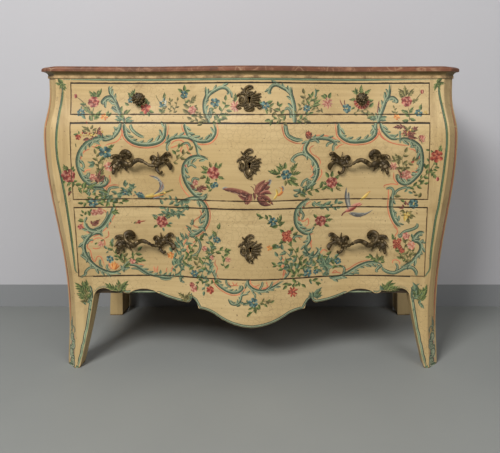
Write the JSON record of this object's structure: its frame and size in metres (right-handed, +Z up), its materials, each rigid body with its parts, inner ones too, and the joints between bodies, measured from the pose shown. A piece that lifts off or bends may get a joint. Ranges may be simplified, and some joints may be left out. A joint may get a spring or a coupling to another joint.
{
  "type": "bombe chest of drawers",
  "caption": "Serpentine-fronted bombe chest on splayed legs, with sliding drawers, key locks, cast handles, round knobs and a moulded marbled top",
  "frame": {"origin": "on the floor under the middle of the bounding box", "axes": "+Z up; the drawer fronts look along -Y; +X runs along the front to the right of someone facing it"},
  "size_m": [1.1698, 0.57, 0.86],
  "materials": {
    "painted_wood": "aged cream ground with painted scrolls and flowers, crackled and waxed",
    "marbled_top": "red-brown painted marbling, waxed, rubbed at the edges",
    "bare_wood": "old unfinished softwood, darkened with age",
    "bronze": "cast bronze with dark olive patina, bright on the high places",
    "iron": "forged iron, dark and dry"
  },
  "bodies": {
    "case": {"top_board": "marbled_top", "top_moulding": "marbled_top", "corner_leg_left": "painted_wood", "corner_leg_right": "painted_wood", "back_leg_left": "painted_wood", "back_leg_right": "painted_wood", "side_panel_left": "painted_wood", "side_panel_right": "painted_wood", "front_top_rail": "painted_wood", "upper_drawer_rail": "painted_wood", "lower_drawer_rail": "painted_wood", "front_apron": "painted_wood", "back_boards": "bare_wood", "back_top_rail": "bare_wood", "back_bottom_rail": "bare_wood", "back_nails": "iron", "bottom_board": "bare_wood", "top_drawer_runners": "bare_wood", "middle_drawer_runners": "bare_wood", "bottom_drawer_runners": "bare_wood", "drawer_guides": "bare_wood", "drawer_stops": "bare_wood"},
    "top_drawer": {"top_drawer_front": "painted_wood", "top_drawer_left_side": "bare_wood", "top_drawer_right_side": "bare_wood", "top_drawer_back": "bare_wood", "top_drawer_bottom": "bare_wood", "top_drawer_lock_case": "iron", "top_drawer_escutcheon": "bronze", "top_drawer_pins": "bronze", "top_drawer_left_knob": "bronze", "top_drawer_right_knob": "bronze", "top_drawer_nuts": "iron"},
    "top_bolt": {"top_drawer_lock_bolt": "iron"},
    "middle_drawer": {"middle_drawer_front": "painted_wood", "middle_drawer_left_side": "bare_wood", "middle_drawer_right_side": "bare_wood", "middle_drawer_back": "bare_wood", "middle_drawer_bottom": "bare_wood", "middle_drawer_lock_case": "iron", "middle_drawer_escutcheon": "bronze", "middle_drawer_pins": "bronze", "middle_drawer_left_handle": "bronze", "middle_drawer_right_handle": "bronze", "middle_drawer_nuts": "iron"},
    "middle_bolt": {"middle_drawer_lock_bolt": "iron"},
    "bottom_drawer": {"bottom_drawer_front": "painted_wood", "bottom_drawer_left_side": "bare_wood", "bottom_drawer_right_side": "bare_wood", "bottom_drawer_back": "bare_wood", "bottom_drawer_bottom": "bare_wood", "bottom_drawer_lock_case": "iron", "bottom_drawer_escutcheon": "bronze", "bottom_drawer_pins": "bronze", "bottom_drawer_left_handle": "bronze", "bottom_drawer_right_handle": "bronze", "bottom_drawer_nuts": "iron"},
    "bottom_bolt": {"bottom_drawer_lock_bolt": "iron"}
  },
  "joints": [
    {"name": "top_drawer_slide", "type": "slide", "parent": "case", "child": "top_drawer", "axis": [0, -1, 0], "range_m": [0, 0.33]},
    {"name": "top_bolt_throw", "type": "slide", "parent": "top_drawer", "child": "top_bolt", "axis": [0, 0, 1], "range_m": [0, 0.007]},
    {"name": "middle_drawer_slide", "type": "slide", "parent": "case", "child": "middle_drawer", "axis": [0, -1, 0], "range_m": [0, 0.33]},
    {"name": "middle_bolt_throw", "type": "slide", "parent": "middle_drawer", "child": "middle_bolt", "axis": [0, 0, 1], "range_m": [0, 0.007]},
    {"name": "bottom_drawer_slide", "type": "slide", "parent": "case", "child": "bottom_drawer", "axis": [0, -1, 0], "range_m": [0, 0.33]},
    {"name": "bottom_bolt_throw", "type": "slide", "parent": "bottom_drawer", "child": "bottom_bolt", "axis": [0, 0, 1], "range_m": [0, 0.007]}
  ]
}
